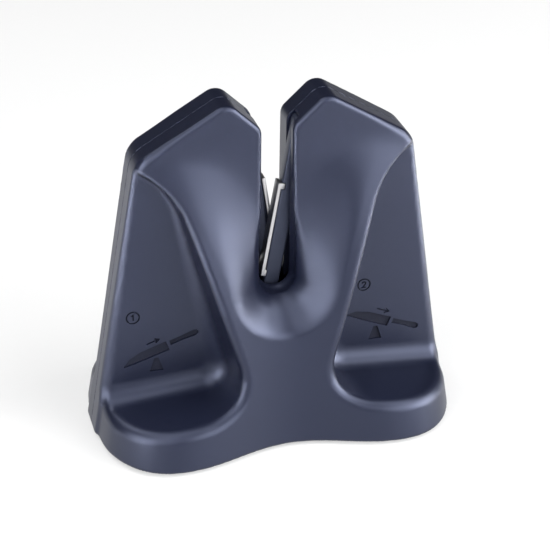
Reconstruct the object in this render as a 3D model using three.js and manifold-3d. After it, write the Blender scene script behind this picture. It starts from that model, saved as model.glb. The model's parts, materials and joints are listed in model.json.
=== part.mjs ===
// Pull-through knife sharpener: two moulded half shells hold a pair of crossed jaws, closed by springs.
// Millimetres, +Z up. The blade is drawn along Y, through the slot between the two horns.
// The origin is on the table, under the middle of the body.
import * as THREE from "three";
import { mergeVertices } from "three/addons/utils/BufferGeometryUtils.js";
import Module from "manifold-3d";

// Body outline in the front view, measured from the underside of the shells
const baseHalfWidth = 42.5;
const shoulderHalfWidth = 31.3;
const shoulderHeight = 67.6;
const shoulderRadius = 4.5;
const peakHalfSpacing = 11.0;
const peakHeight = 79.7;
const peakRadius = 3.5;
const mouthHeight = 72.7;
const mouthRadius = 3.0;
const slotHalfWidth = 3.5;
const slotFloorHeight = 33.4;

// Depths of the body, from the mid plane outwards
const hornHalfDepth = 5.9;
const scoopHalfDepth = 4.9;
const footHalfDepth = 24.9;
const waistHalfDepth = 19.7;
const footHalfSpacing = 25.0;
const footRoundness = 2.3;
const flareHeight = 72.0;
const rimRadius = 1.2;
const wall = 2.0;

// Funnel that leads down and out from the slot: its reach, and how that grows above the slot's round foot.
// Its bend is crisp at the foot and soft higher up.
const funnelReach = 8.3;
const funnelSpread = 0.4;
const funnelCrispBend = 8;
const funnelCrispHeight = 30.0;
const funnelSoftBend = 2;
const funnelSoftHeight = 50.0;

// Finger scoops beside the funnel: their inner edge runs from the top, past a turn, down to the ledge
const scoopTop = new THREE.Vector2(36.0, 68.05);
const scoopTurn = new THREE.Vector2(24.3, 62.3);
const scoopNeck = new THREE.Vector2(12.6, 20.3);
const scoopTurnRadius = 18.0;
const scoopCornerRadius = 9.5;
const scoopDraft = THREE.MathUtils.degToRad(12);
const ledgeHeight = 8.0;
const ledgeRise = THREE.MathUtils.degToRad(2.5);
const ledgeFall = THREE.MathUtils.degToRad(4);
const ledgeFillet = 4.2;

// Crossed jaws, one in each half of the slot
const jawOpening = THREE.MathUtils.degToRad(8);
const jawCrossHeight = 52.0;
const jawTipHeight = 73.5;
const jawTipRadius = 1.5;
const jawWidth = 3.6;
const jawThickness = 2.9;
const jawSpacing = 0.5;
const stripThickness = 0.8;
const stripLowHeight = 35.0;
const stripHighHeight = 57.8;
const stripTabHeight = 1.4;
const stripTabReach = 0.7;

// Pivots, springs and stops inside the lower body
const pivotHeight = 12.0;
const pivotClearance = 0.8;
const pinRadius = 1.5;
const pinGrip = 7.0;
const hubRadius = 3.2;
const hubLength = 8.2;
const bossRadius = 2.8;
const washerThickness = 0.4;
const springWire = 0.8;
const springTurns = 3;
const springPitch = 1.25;
const springArmLength = 13.0;
const springTailReach = 2.6;
const stopRadius = 1.3;
const restStopReach = 12.0;
const openStopReach = 45.0;

// Screws from the rear, and rubber feet under the shells
const screwHeadRadius = 2.3;
const screwHeadHeight = 1.6;
const screwHeadBevel = 0.65;
const screwDriveWidth = 0.7;
const screwDriveLength = 2.8;
const screwDriveDepth = 0.8;
const screwShankRadius = 1.2;
const screwLand = 3.4;
const screwSkin = 1.0;
const screwTubeWall = 1.2;
const upperScrew = new THREE.Vector2(18.0, 60.0);
const lowerScrew = new THREE.Vector2(19.5, 4.9);
const footPadRadius = 4.5;
const footPadBevel = 0.4;
const footPadStand = 0.8;
const footPadSink = 1.2;
const footPadSideInset = 11.5;
const footPadEndInset = 11.9;

// Clearances: between moving pieces, and between pieces that are fitted together
const runningGap = 0.3;
const fitGap = 0.1;

// Overlaps that keep joined solids from sharing a face, and a reach past the whole body
const tuck = 0.5;
const sliver = 0.05;
const beyond = 60;

// Facets of the flared outside, of the hollow behind it, and of round stretches
const flareColumns = 32;
const flareRows = 22;
const hollowColumns = 16;
const hollowRows = 12;
const cornerSteps = 5;
const filletSteps = 6;
const rimSteps = 2;
const sweepSteps = 4;
const barSides = 20;
const postSides = 12;
const wireSides = 6;
const wireSteps = 56;
const mergeDistance = 1e-4;

const wasm = await Module();
wasm.setup();

function solid(geometry) {
  geometry.deleteAttribute("normal");
  geometry.deleteAttribute("uv");
  const merged = mergeVertices(geometry, mergeDistance);
  const mesh = new wasm.Mesh({
    numProp: 3,
    vertProperties: new Float32Array(merged.attributes.position.array),
    triVerts: new Uint32Array(merged.index.array),
  });
  return new wasm.Manifold(mesh);
}

function geometryOf(body) {
  const mesh = body.getMesh();
  const geometry = new THREE.BufferGeometry();
  geometry.setAttribute("position", new THREE.BufferAttribute(new Float32Array(mesh.vertProperties), 3));
  geometry.setIndex(new THREE.BufferAttribute(new Uint32Array(mesh.triVerts), 1));
  geometry.computeVertexNormals();
  return geometry;
}

// A front-view outline (x, z) pulled along Y
function prism(points, yFrom, yTo) {
  const shape = new THREE.Shape(points);
  const geometry = new THREE.ExtrudeGeometry(shape, { depth: yTo - yFrom, bevelEnabled: false });
  return geometry.rotateX(Math.PI / 2).translate(0, yTo, 0);
}

// A round bar along Y, centred on (x, z)
function roundBar(radius, yFrom, yTo, x, z, sides = barSides) {
  const bar = new THREE.CylinderGeometry(radius, radius, yTo - yFrom, sides);
  return bar.translate(x, (yFrom + yTo) / 2, z);
}

function block(low, high) {
  const size = new THREE.Vector3().subVectors(high, low);
  const centre = new THREE.Vector3().addVectors(low, high).multiplyScalar(0.5);
  return new THREE.BoxGeometry(size.x, size.y, size.z).translate(centre.x, centre.y, centre.z);
}

// Corners run anticlockwise, each with its radius
function corner(x, z, radius) {
  return { at: new THREE.Vector2(x, z), radius };
}

function insetCorners(corners, distance) {
  const least = 0.2;
  return corners.map(({ at, radius }, i) => {
    const along = at.clone().sub(corners.at(i - 1).at).normalize();
    const onward = corners[(i + 1) % corners.length].at.clone().sub(at).normalize();
    const inward = new THREE.Vector2(-along.y, along.x);
    const bisector = inward.clone().add(new THREE.Vector2(-onward.y, onward.x)).normalize();
    const moved = at.clone().addScaledVector(bisector, distance / bisector.dot(inward));
    const convex = along.cross(onward) > 0 ? 1 : -1;
    return { at: moved, radius: Math.max(radius - convex * distance, least) };
  });
}

function roundCorners(corners) {
  return corners.flatMap(({ at, radius }, i) => {
    const back = corners.at(i - 1).at.clone().sub(at).normalize();
    const onward = corners[(i + 1) % corners.length].at.clone().sub(at).normalize();
    const half = Math.acos(THREE.MathUtils.clamp(back.dot(onward), -1, 1)) / 2;
    const centre = back.clone().add(onward).normalize().multiplyScalar(radius / Math.sin(half)).add(at);
    const start = at.clone().addScaledVector(back, radius / Math.tan(half));
    const turn = Math.sign(onward.cross(back)) * (Math.PI - 2 * half);
    const step = turn / cornerSteps;
    return Array.from({ length: cornerSteps + 1 }, (_, n) => start.clone().rotateAround(centre, step * n));
  });
}

const footPadPlace = new THREE.Vector2(baseHalfWidth - footPadSideInset, footHalfDepth - footPadEndInset);

// The sides lean in as straight lines from the base to the shoulders
const sideSlope = (baseHalfWidth - shoulderHalfWidth) / shoulderHeight;

function sideHalfWidth(z) {
  return baseHalfWidth - sideSlope * z;
}

// Front view of the whole body, carried on below the base, where the solids are cut off level
function bodyOutline(inset) {
  const right = [
    corner(sideHalfWidth(-beyond), -beyond, shoulderRadius),
    corner(shoulderHalfWidth, shoulderHeight, shoulderRadius),
    corner(peakHalfSpacing, peakHeight, peakRadius),
    corner(slotHalfWidth, mouthHeight, mouthRadius),
    corner(slotHalfWidth, slotFloorHeight, slotHalfWidth - sliver),
  ];
  const left = right.map(({ at, radius }) => corner(-at.x, at.y, radius)).reverse();
  return roundCorners(insetCorners([...right, ...left], inset));
}

// Plan of the base: a waist in the middle, a crest over each foot, and a round end
function planHalfDepth(across) {
  const x = Math.abs(across);
  if (x < footHalfSpacing) {
    const swell = (1 - Math.cos((Math.PI * x) / footHalfSpacing)) / 2;
    return THREE.MathUtils.lerp(waistHalfDepth, footHalfDepth, swell);
  }
  const u = Math.min((x - footHalfSpacing) / (baseHalfWidth - footHalfSpacing), 1);
  return footHalfDepth * (1 - u ** footRoundness) ** (1 / footRoundness);
}

function slotDistance(x, z) {
  const roundCentre = slotFloorHeight + slotHalfWidth;
  return Math.hypot(x, Math.min(z - roundCentre, 0)) - slotHalfWidth;
}

// How far the funnel's wall has come out to the flare, from 0 at the slot to 1
function funnelShare(x, z) {
  const roundCentre = slotFloorHeight + slotHalfWidth;
  const reach = funnelReach + funnelSpread * Math.max(z - roundCentre, 0);
  const share = THREE.MathUtils.clamp(slotDistance(x, z) / reach, 0, 1);
  const height = (z - funnelCrispHeight) / (funnelSoftHeight - funnelCrispHeight);
  const bend = THREE.MathUtils.lerp(funnelCrispBend, funnelSoftBend, THREE.MathUtils.clamp(height, 0, 1));
  return (share * (bend + 1 - share ** bend)) / bend;
}

// The flare leans straight from the plan of the base up into the horns, hollowed by the funnel
function flareHalfDepth(across, x, z) {
  const root = hornHalfDepth - tuck;
  const flare = THREE.MathUtils.lerp(planHalfDepth(across), root, z / flareHeight);
  return THREE.MathUtils.lerp(root, flare, funnelShare(x, z));
}

// Columns stand closer together in the middle and at the ends, where the plan curves most
function columnPlace(s) {
  const crowding = 0.5;
  return baseHalfWidth * (s - (crowding / (2 * Math.PI)) * Math.sin(2 * Math.PI * s));
}

function flareBlock(inset, columns, rows) {
  const sheet = new THREE.BoxGeometry(2, 2, 1, columns, 1, rows);
  const point = sheet.attributes.position;
  const thinnest = 0.1;
  for (let i = 0; i < point.count; i += 1) {
    const across = columnPlace(point.getX(i));
    const z = (point.getZ(i) + 0.5) * flareHeight;
    const x = (across * sideHalfWidth(z)) / baseHalfWidth;
    const depth = Math.max(flareHalfDepth(across, x, z) - inset, thinnest);
    point.setXYZ(i, x, point.getY(i) < 0 ? -depth : tuck, z);
  }
  return solid(sheet);
}

// One finger scoop in the front view; its corner stands where the inner edge meets the ledge
function scoopOutline(side, grow) {
  const edge = scoopTurn.clone().sub(scoopNeck);
  const foot = scoopNeck.clone().addScaledVector(edge, (ledgeHeight - scoopNeck.y) / edge.y);
  const corners = [
    corner(scoopTop.x, scoopTop.y, fitGap),
    corner(scoopTurn.x, scoopTurn.y, scoopTurnRadius),
    corner(foot.x, foot.y, scoopCornerRadius),
    corner(beyond, ledgeHeight, fitGap),
    corner(beyond, peakHeight, fitGap),
    corner(baseHalfWidth, peakHeight, fitGap),
  ];
  return roundCorners(insetCorners(corners, -grow)).map((p) => new THREE.Vector2(side * p.x, p.y));
}

// Back, fillet and ledge of a scoop in the side view, pulled along X; the ledge falls away outwards
function ledgeBlock(side, grow) {
  const floor = scoopHalfDepth - grow;
  const radius = ledgeFillet + grow;
  const centreY = floor + radius;
  const run = centreY - scoopHalfDepth;
  const centreZ = ledgeHeight - grow + run * Math.tan(ledgeRise) + radius / Math.cos(ledgeRise);
  const turn = Math.PI / 2 + ledgeRise;
  const fillet = Array.from({ length: filletSteps + 1 }, (_, n) => {
    const angle = Math.PI + (turn * n) / filletSteps;
    return new THREE.Vector2(-centreY - radius * Math.cos(angle), centreZ + radius * Math.sin(angle));
  });
  const last = fillet.at(-1);
  const climb = (beyond + last.x) * Math.tan(ledgeRise);
  const points = [
    ...fillet,
    new THREE.Vector2(-beyond, last.y + climb),
    new THREE.Vector2(-beyond, beyond * 2),
    new THREE.Vector2(-floor, beyond * 2),
  ];
  const shape = new THREE.Shape(points);
  const geometry = new THREE.ExtrudeGeometry(shape, { depth: beyond * 2, bevelEnabled: false });
  geometry.translate(0, 0, -beyond).rotateX(Math.PI / 2).rotateZ(Math.PI / 2);
  const fall = Math.tan(ledgeFall);
  return solid(geometry.applyMatrix4(new THREE.Matrix4().set(
    1, 0, 0, 0,
    0, 1, 0, 0,
    -side * fall, 0, 1, footHalfSpacing * fall,
    0, 0, 0, 1,
  )));
}

function scoops(grow) {
  const sides = [1, -1].map((side) => {
    const lean = side * Math.tan(scoopDraft);
    const shear = new THREE.Matrix4().set(
      1, lean, 0, lean * scoopHalfDepth,
      0, 1, 0, 0,
      0, 0, 1, 0,
      0, 0, 0, 1,
    );
    const hollow = solid(prism(scoopOutline(side, grow), -beyond, 0).applyMatrix4(shear));
    return hollow.intersect(ledgeBlock(side, grow));
  });
  return sides[0].add(sides[1]);
}

// Everything above a level and in front of a plane
function frontPart(low, back) {
  const high = new THREE.Vector3(beyond, back, beyond * 2);
  return solid(block(new THREE.Vector3(-beyond, -beyond, low), high));
}

// Outer form of the front half: a rounded slab for the horns, and the flare with the scoops cut out of it
function outerForm() {
  const slab = new THREE.ExtrudeGeometry(new THREE.Shape(bodyOutline(0)), {
    depth: 2 * (hornHalfDepth - rimRadius),
    bevelThickness: rimRadius,
    bevelSize: rimRadius,
    bevelOffset: -rimRadius,
    bevelSegments: rimSteps,
  });
  slab.rotateX(Math.PI / 2).translate(0, hornHalfDepth - rimRadius, 0);
  const clip = solid(prism(bodyOutline(sliver), -beyond, beyond));
  const flare = flareBlock(0, flareColumns, flareRows).intersect(clip);
  return solid(slab).add(flare).subtract(scoops(0)).intersect(frontPart(0, 0));
}

// Hollow inside the front half
function hollowForm() {
  const slab = solid(prism(bodyOutline(wall), -(hornHalfDepth - wall), tuck));
  const clip = solid(prism(bodyOutline(wall + sliver), -beyond, beyond));
  const flare = flareBlock(wall, hollowColumns, hollowRows).intersect(clip);
  return slab.add(flare).subtract(scoops(wall)).intersect(frontPart(wall, tuck));
}

// Jaws are drawn upright about their pivot, with the cutting side at negative x, and then tilted.
// Each pivot stands clear of the other jaw's spring, and the tilt makes the strips meet at the crossing.
const jawHalfWidth = jawWidth / 2;
const jawFront = -(jawSpacing / 2 + jawThickness);
const jawBack = -jawSpacing / 2;
const stripFace = jawHalfWidth + fitGap + stripThickness;
const coilRadius = hubRadius + runningGap + springWire / 2;
const pivotOffset = (coilRadius + springWire / 2 + pivotClearance + bossRadius) / 2;
const crossRise = jawCrossHeight - pivotHeight;
const crossReach = Math.hypot(pivotOffset, crossRise);
const jawTilt = Math.atan(pivotOffset / crossRise) + Math.asin(stripFace / crossReach);
const cosTilt = Math.cos(jawTilt);
const jawLength = (jawTipHeight - pivotHeight) / cosTilt;
const stripLow = (stripLowHeight - pivotHeight) / cosTilt;
const stripHigh = (stripHighHeight - pivotHeight) / cosTilt;

function atPivot(geometry, swing = 0) {
  return geometry.rotateY(jawTilt + swing).translate(-pivotOffset, 0, pivotHeight);
}

// Space that the jaw sweeps through in its half of the slot
function jawSweep() {
  const reach = jawLength + runningGap;
  const inner = -(stripFace + runningGap);
  const outer = jawHalfWidth + runningGap;
  const arc = Array.from({ length: sweepSteps + 1 }, (_, n) => {
    const share = n / sweepSteps;
    const tip = new THREE.Vector2(THREE.MathUtils.lerp(inner, outer, share), reach);
    return tip.rotateAround(new THREE.Vector2(), -jawOpening * share);
  });
  const foot = new THREE.Vector2(outer, 0).rotateAround(new THREE.Vector2(), -jawOpening);
  const points = [new THREE.Vector2(inner, 0), ...arc, foot];
  return solid(atPivot(prism(points, jawFront - runningGap, tuck)));
}

// Posts inside the shell that stop the jaw at rest and wide open
function stopPost(side, reach, swing) {
  const x = side * (jawHalfWidth + fitGap + stopRadius);
  return solid(atPivot(roundBar(stopRadius, -beyond, -runningGap, x, reach, postSides), swing));
}

const coilBack = jawFront - runningGap - springWire / 2;
const coilFront = coilBack - springTurns * springPitch;
const hubFront = jawBack - hubLength;
const springTailLength = coilRadius + springTailReach;
const screwPlaces = [upperScrew, lowerScrew].flatMap((p) => [p, new THREE.Vector2(-p.x, p.y)]);
const screwDepth = hornHalfDepth - screwSkin;

function shell(screwed) {
  const outer = outerForm();
  const shortBoss = roundBar(bossRadius, -beyond, hubFront - runningGap, -pivotOffset, pivotHeight);
  const longBossEnd = jawBack + fitGap + washerThickness + fitGap;
  const longBoss = roundBar(bossRadius, -beyond, -longBossEnd, pivotOffset, pivotHeight);
  const tailPost = roundBar(
    stopRadius, -beyond, coilFront + springWire, coilRadius - springWire / 2 - fitGap - stopRadius,
    -springTailLength, postSides,
  );
  const pinHole = pinRadius + fitGap;
  const shortHole = roundBar(pinHole, hubFront - runningGap - pinGrip, 0, -pivotOffset, pivotHeight);
  const longHole = roundBar(pinHole, -longBossEnd - pinGrip, 0, pivotOffset, pivotHeight);
  let body = outer.subtract(hollowForm()).subtract(jawSweep());
  const posts = [
    solid(shortBoss),
    solid(longBoss),
    solid(atPivot(tailPost)),
    stopPost(-1, restStopReach, 0),
    stopPost(1, openStopReach, jawOpening),
  ];
  for (const post of posts) {
    body = body.add(post.intersect(outer));
  }
  body = body.subtract(solid(shortHole)).subtract(solid(longHole));
  for (const place of screwPlaces) {
    body = screwed(body, outer, place);
  }
  for (const side of [-1, 1]) {
    const radius = footPadRadius + fitGap;
    const recess = new THREE.CylinderGeometry(radius, radius, footPadSink * 2, barSides);
    recess.rotateX(Math.PI / 2).translate(side * footPadPlace.x, -footPadPlace.y, 0);
    body = body.subtract(solid(recess));
  }
  return geometryOf(body);
}

// The front shell has a blind boss for each screw
function screwBoss(body, outer, place) {
  const radius = screwShankRadius + fitGap;
  const boss = roundBar(radius + screwTubeWall, -beyond, 0, place.x, place.y);
  const hole = roundBar(radius, -screwDepth, tuck, place.x, place.y, postSides);
  return body.add(solid(boss).intersect(outer)).subtract(solid(hole));
}

// The rear shell has a sunk tube for each screw; drawn as a front half, its outside is at negative y
function screwTube(body, outer, place) {
  const radius = screwHeadRadius + runningGap;
  const tube = roundBar(radius + screwTubeWall, -beyond, 0, place.x, place.y);
  const well = roundBar(radius, -beyond, -screwLand, place.x, place.y);
  const hole = roundBar(screwShankRadius + fitGap, -beyond, tuck, place.x, place.y, postSides);
  return body.add(solid(tube).intersect(outer)).subtract(solid(well)).subtract(solid(hole));
}

function jaw() {
  const bar = roundCorners([
    corner(-jawHalfWidth, 0, fitGap),
    corner(jawHalfWidth, 0, fitGap),
    corner(jawHalfWidth, jawLength, jawTipRadius),
    corner(-jawHalfWidth, jawLength, jawTipRadius),
  ]);
  const tabDepth = stripThickness + fitGap;
  let body = solid(prism(bar, jawFront, jawBack));
  body = body.add(solid(roundBar(hubRadius, hubFront, jawBack, 0, 0)));
  body = body.subtract(solid(roundBar(pinRadius + fitGap, -beyond, beyond, 0, 0)));
  for (const end of [stripLow, stripHigh - stripTabHeight]) {
    const low = new THREE.Vector3(-beyond, jawFront - beyond, end - fitGap);
    const high = new THREE.Vector3(
      -jawHalfWidth + stripTabReach + fitGap, jawFront + tabDepth, end + stripTabHeight + fitGap,
    );
    body = body.subtract(solid(block(low, high)));
  }
  return geometryOf(body);
}

// A flat strip on the jaw's inner side, with a tab folded onto the jaw's face at each end
function jawStrip() {
  const inner = -jawHalfWidth - fitGap;
  const plate = block(
    new THREE.Vector3(inner - stripThickness, jawFront, stripLow),
    new THREE.Vector3(inner, jawBack, stripHigh),
  );
  let body = solid(plate);
  for (const end of [stripLow, stripHigh - stripTabHeight]) {
    const tab = block(
      new THREE.Vector3(inner - stripThickness, jawFront, end),
      new THREE.Vector3(-jawHalfWidth + stripTabReach, jawFront + stripThickness, end + stripTabHeight),
    );
    body = body.add(solid(tab));
  }
  return geometryOf(body);
}

function pivotPin() {
  const back = jawBack + fitGap + washerThickness + fitGap + pinGrip - runningGap;
  const front = hubFront - runningGap - pinGrip + runningGap;
  return roundBar(pinRadius, front, back, 0, 0);
}

function thrustWasher() {
  const front = jawBack + fitGap;
  const points = [
    new THREE.Vector2(pinRadius + fitGap, front),
    new THREE.Vector2(bossRadius, front),
    new THREE.Vector2(bossRadius, front + washerThickness),
    new THREE.Vector2(pinRadius + fitGap, front + washerThickness),
    new THREE.Vector2(pinRadius + fitGap, front),
  ];
  return new THREE.LatheGeometry(points, barSides);
}

// One wire: a straight tail behind its post, the coil round the hub, and an arm along the jaw's outer side
class SpringPath extends THREE.Curve {
  getPoint(t, target = new THREE.Vector3()) {
    const coilLength = springTurns * 2 * Math.PI * coilRadius;
    const along = t * (springTailLength + coilLength + springArmLength);
    const coiled = THREE.MathUtils.clamp((along - springTailLength) / coilLength, 0, 1);
    const angle = coiled * springTurns * 2 * Math.PI;
    const tail = Math.max(springTailLength - along, 0);
    const arm = Math.max(along - springTailLength - coilLength, 0);
    const settle = THREE.MathUtils.smoothstep(arm, 0, springArmLength / 2);
    const armX = jawHalfWidth + fitGap + springWire / 2;
    const x = THREE.MathUtils.lerp(coilRadius * Math.cos(angle), armX, settle);
    const coilY = THREE.MathUtils.lerp(coilFront, coilBack, coiled);
    const y = THREE.MathUtils.lerp(coilY, (jawFront + jawBack) / 2, settle);
    return target.set(x, y, coilRadius * Math.sin(angle) - tail + arm);
  }
}

function torsionSpring() {
  const section = Array.from({ length: wireSides }, (_, n) => {
    const angle = (2 * Math.PI * n) / wireSides;
    return new THREE.Vector2(Math.cos(angle), Math.sin(angle)).multiplyScalar(springWire / 2);
  });
  const path = new SpringPath();
  return new THREE.ExtrudeGeometry(new THREE.Shape(section), { steps: wireSteps, extrudePath: path });
}

function screw() {
  const head = screwLand + fitGap;
  const top = head + screwHeadHeight;
  const tip = runningGap - screwDepth;
  const points = [
    new THREE.Vector2(0, tip),
    new THREE.Vector2(screwShankRadius, tip + screwShankRadius),
    new THREE.Vector2(screwShankRadius, head),
    new THREE.Vector2(screwHeadRadius, head),
    new THREE.Vector2(screwHeadRadius, top - screwHeadBevel),
    new THREE.Vector2(screwHeadRadius - screwHeadBevel, top),
    new THREE.Vector2(0, top),
  ];
  let body = solid(new THREE.LatheGeometry(points, barSides));
  const along = screwDriveLength / 2;
  const across = screwDriveWidth / 2;
  for (const [x, z] of [[along, across], [across, along]]) {
    const low = new THREE.Vector3(-x, top - screwDriveDepth, -z);
    const high = new THREE.Vector3(x, top + screwDriveDepth, z);
    body = body.subtract(solid(block(low, high)));
  }
  return geometryOf(body);
}

function footPad() {
  const top = footPadSink - fitGap;
  const points = [
    new THREE.Vector2(0, -footPadStand),
    new THREE.Vector2(footPadRadius - footPadBevel, -footPadStand),
    new THREE.Vector2(footPadRadius, -footPadStand + footPadBevel),
    new THREE.Vector2(footPadRadius, top),
    new THREE.Vector2(0, top),
  ];
  return new THREE.LatheGeometry(points, barSides).rotateX(Math.PI / 2);
}

const navyPlastic = { color: 0x2f3555, roughness: 0.45, metalness: 0 };
const jawPlastic = { color: 0x2b3150, roughness: 0.5, metalness: 0 };
const brightSteel = { color: 0xc9c9ce, roughness: 0.25, metalness: 1 };
const springSteel = { color: 0x8d9096, roughness: 0.35, metalness: 1 };
const zincSteel = { color: 0xa7abb0, roughness: 0.4, metalness: 1 };
const whiteNylon = { color: 0xe6e4dc, roughness: 0.55, metalness: 0 };
const blackRubber = { color: 0x1c1c1e, roughness: 0.85, metalness: 0 };

function piece(name, geometry, finish) {
  const mesh = new THREE.Mesh(geometry, new THREE.MeshStandardMaterial(finish));
  mesh.name = name;
  return mesh;
}

const opposite = { left: "right", right: "left" };

// The rear half is the front half turned round, so each half carries its own jaw and spring
function half(shellName, end, side, screwed) {
  const group = new THREE.Group();
  group.add(piece(shellName, shell(screwed), navyPlastic));
  const tilted = new THREE.Group();
  tilted.position.set(-pivotOffset, 0, pivotHeight);
  tilted.rotation.y = jawTilt;
  tilted.add(
    piece(`${side}_jaw`, jaw(), jawPlastic),
    piece(`${side}_jaw_strip`, jawStrip(), brightSteel),
    piece(`${side}_torsion_spring`, torsionSpring(), springSteel),
    piece(`${side}_pivot_pin`, pivotPin(), zincSteel),
    piece(`${side}_thrust_washer`, thrustWasher(), whiteNylon),
  );
  group.add(tilted);
  for (const hand of [-1, 1]) {
    const pad = piece(`${end}_${hand === 1 ? side : opposite[side]}_foot`, footPad(), blackRubber);
    pad.position.set(hand * footPadPlace.x, -footPadPlace.y, 0);
    group.add(pad);
  }
  return group;
}

const sharpener = new THREE.Group();
sharpener.position.z = footPadStand;
const front = half("front_shell", "front", "right", screwBoss);
const rear = half("rear_shell", "rear", "left", screwTube);
rear.rotation.z = Math.PI;
sharpener.add(front, rear);
for (const place of screwPlaces) {
  const level = place.y === upperScrew.y ? "upper" : "lower";
  const fastener = piece(`${level}_${place.x > 0 ? "right" : "left"}_screw`, screw(), zincSteel);
  fastener.position.set(place.x, 0, place.y);
  sharpener.add(fastener);
}

export default sharpener;
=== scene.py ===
import json
import math

import bmesh
import bpy
import numpy as np
from mathutils import Matrix, Vector


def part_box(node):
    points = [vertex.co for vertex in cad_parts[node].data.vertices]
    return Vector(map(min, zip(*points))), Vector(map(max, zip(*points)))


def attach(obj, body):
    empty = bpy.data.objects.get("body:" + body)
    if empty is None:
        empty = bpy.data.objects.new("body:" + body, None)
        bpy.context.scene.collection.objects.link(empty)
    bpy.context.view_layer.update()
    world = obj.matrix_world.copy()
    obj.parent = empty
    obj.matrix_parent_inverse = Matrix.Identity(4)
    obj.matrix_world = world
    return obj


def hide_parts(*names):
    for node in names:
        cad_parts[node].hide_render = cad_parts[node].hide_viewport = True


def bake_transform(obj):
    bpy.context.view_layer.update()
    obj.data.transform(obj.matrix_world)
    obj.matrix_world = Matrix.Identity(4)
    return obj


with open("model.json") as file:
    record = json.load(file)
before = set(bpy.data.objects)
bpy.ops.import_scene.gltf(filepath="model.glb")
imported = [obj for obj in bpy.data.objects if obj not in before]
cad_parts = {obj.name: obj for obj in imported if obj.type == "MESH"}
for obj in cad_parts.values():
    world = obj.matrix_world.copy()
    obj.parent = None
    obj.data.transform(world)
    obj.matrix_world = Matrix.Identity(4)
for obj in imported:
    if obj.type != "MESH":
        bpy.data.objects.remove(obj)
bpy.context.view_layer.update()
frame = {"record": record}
scene = bpy.context.scene

# Half shells: two mouldings in fine-grained navy plastic that meet on the upright mid plane.
# Together they make the horns, the slot, four finger scoops and the flared feet. They are
# hollow, with bosses and posts inside, and screws from the rear hold them together.
mm = 0.001
shell_low, shell_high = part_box("front_shell")
underside = shell_low.z
base_half_width = shell_high.x
foot_half_depth = -shell_low.y
shoulder = (31.3 * mm, 67.6 * mm)
peak = (11 * mm, 79.7 * mm)
slot_half_width = 3.5 * mm
slot_floor = 33.4 * mm
slot_centre = slot_floor + slot_half_width
mouth = (slot_half_width, 72.7 * mm)
shoulder_radius = 6.5 * mm
peak_radius = 3.5 * mm
mouth_radius = 3 * mm
waist_half_depth = 19.7 * mm
horn_half_depth = 5.9 * mm
horn_blend = 1 * mm
foot_half_spacing = 25 * mm
foot_roundness = 2.3
flare_height = 72 * mm
funnel_root = 7.9 * mm
funnel_root_lean = 0.085
funnel_ease = 10 * mm
funnel_reach = 7.4 * mm
funnel_spread = 0.4
funnel_bend = 3
rim_radius = 1.1 * mm
side_rim_radius = 1.9 * mm
side_rim_start = 20 * mm
slot_foot_radius = 7 * mm
slot_foot_lean = 0.6
slot_foot_reach = 16 * mm
base_radius = 0.8 * mm
wall = 2 * mm

scoop_floor = 4.9 * mm
scoop_top = (36 * mm, 68.05 * mm)
scoop_turn = (24.3 * mm, 62.3 * mm)
scoop_neck = (13.2 * mm, 20.3 * mm)
scoop_turn_radius = 18 * mm
scoop_corner_radius = 7.5 * mm
scoop_corner_spread = 0.5
scoop_fillets = (5.2 * mm, 1.2 * mm)
scoop_lips = (2.2 * mm, 1 * mm)
scoop_heights = (scoop_neck[1], scoop_turn[1])
scoop_draft = math.radians(9.5)
ledge_height = 10.05 * mm
ledge_rise = math.radians(-3)
ledge_fall = math.radians(4)

parting_gap = 0.02 * mm
parting_radius = 0.06 * mm


def rounded_max(a, b, radius, lean=0):
    """Of two distances, the greater, rounded where faces whose normals have the cosine lean meet."""
    a_in, b_in = a + radius, b + radius
    in_corner = np.minimum(a_in - lean * b_in, b_in - lean * a_in) > 0
    spread = np.maximum(a_in ** 2 + b_in ** 2 - 2 * lean * a_in * b_in, 0) / (1 - lean ** 2)
    return np.where(in_corner, np.sqrt(spread) - radius, np.maximum(a, b))


def past_line(x, z, start, end):
    across, up = end[0] - start[0], end[1] - start[1]
    return ((x - start[0]) * up - (z - start[1]) * across) / math.hypot(across, up)


def line_lean(start, middle, end):
    before, after = Vector(middle) - Vector(start), Vector(end) - Vector(middle)
    return before.normalized().dot(after.normalized())


def slot_distance(x, z):
    return np.hypot(x, np.minimum(z - slot_centre, 0)) - slot_half_width


def front_outline(x, z):
    base, slot_foot = (base_half_width, 0), (slot_half_width, slot_centre)
    side = past_line(x, z, base, shoulder)
    top = past_line(x, z, shoulder, peak)
    chamfer = past_line(x, z, peak, mouth)
    outer = rounded_max(side, top, shoulder_radius, line_lean(base, shoulder, peak))
    inner = rounded_max(chamfer, -slot_distance(x, z), mouth_radius, line_lean(peak, mouth, slot_foot))
    return rounded_max(outer, inner, peak_radius, line_lean(shoulder, peak, mouth))


def flare(x, y, z):
    side_half_width = base_half_width - (base_half_width - shoulder[0]) * z / shoulder[1]
    across = x * base_half_width / side_half_width
    swell = (1 - np.cos(np.pi * np.minimum(across / foot_half_spacing, 1))) / 2
    crest = waist_half_depth + (foot_half_depth - waist_half_depth) * swell
    end = np.maximum((across - foot_half_spacing) / (base_half_width - foot_half_spacing), 0)
    rise = (z - slot_centre + np.hypot(z - slot_centre, funnel_ease)) / 2
    reach = funnel_reach + funnel_spread * rise
    share = np.clip(slot_distance(x, z) / reach, 0, 1)
    share = share * (funnel_bend + 1 - share ** funnel_bend) / funnel_bend
    share = share * np.clip(1 - z / flare_height, 0, 1)
    root = funnel_root - funnel_root_lean * rise
    depth = np.maximum(y - root + root * share, 0)
    bulge = (depth ** foot_roundness + (end * crest * share) ** foot_roundness) ** (1 / foot_roundness)
    return bulge - crest * share


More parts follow.
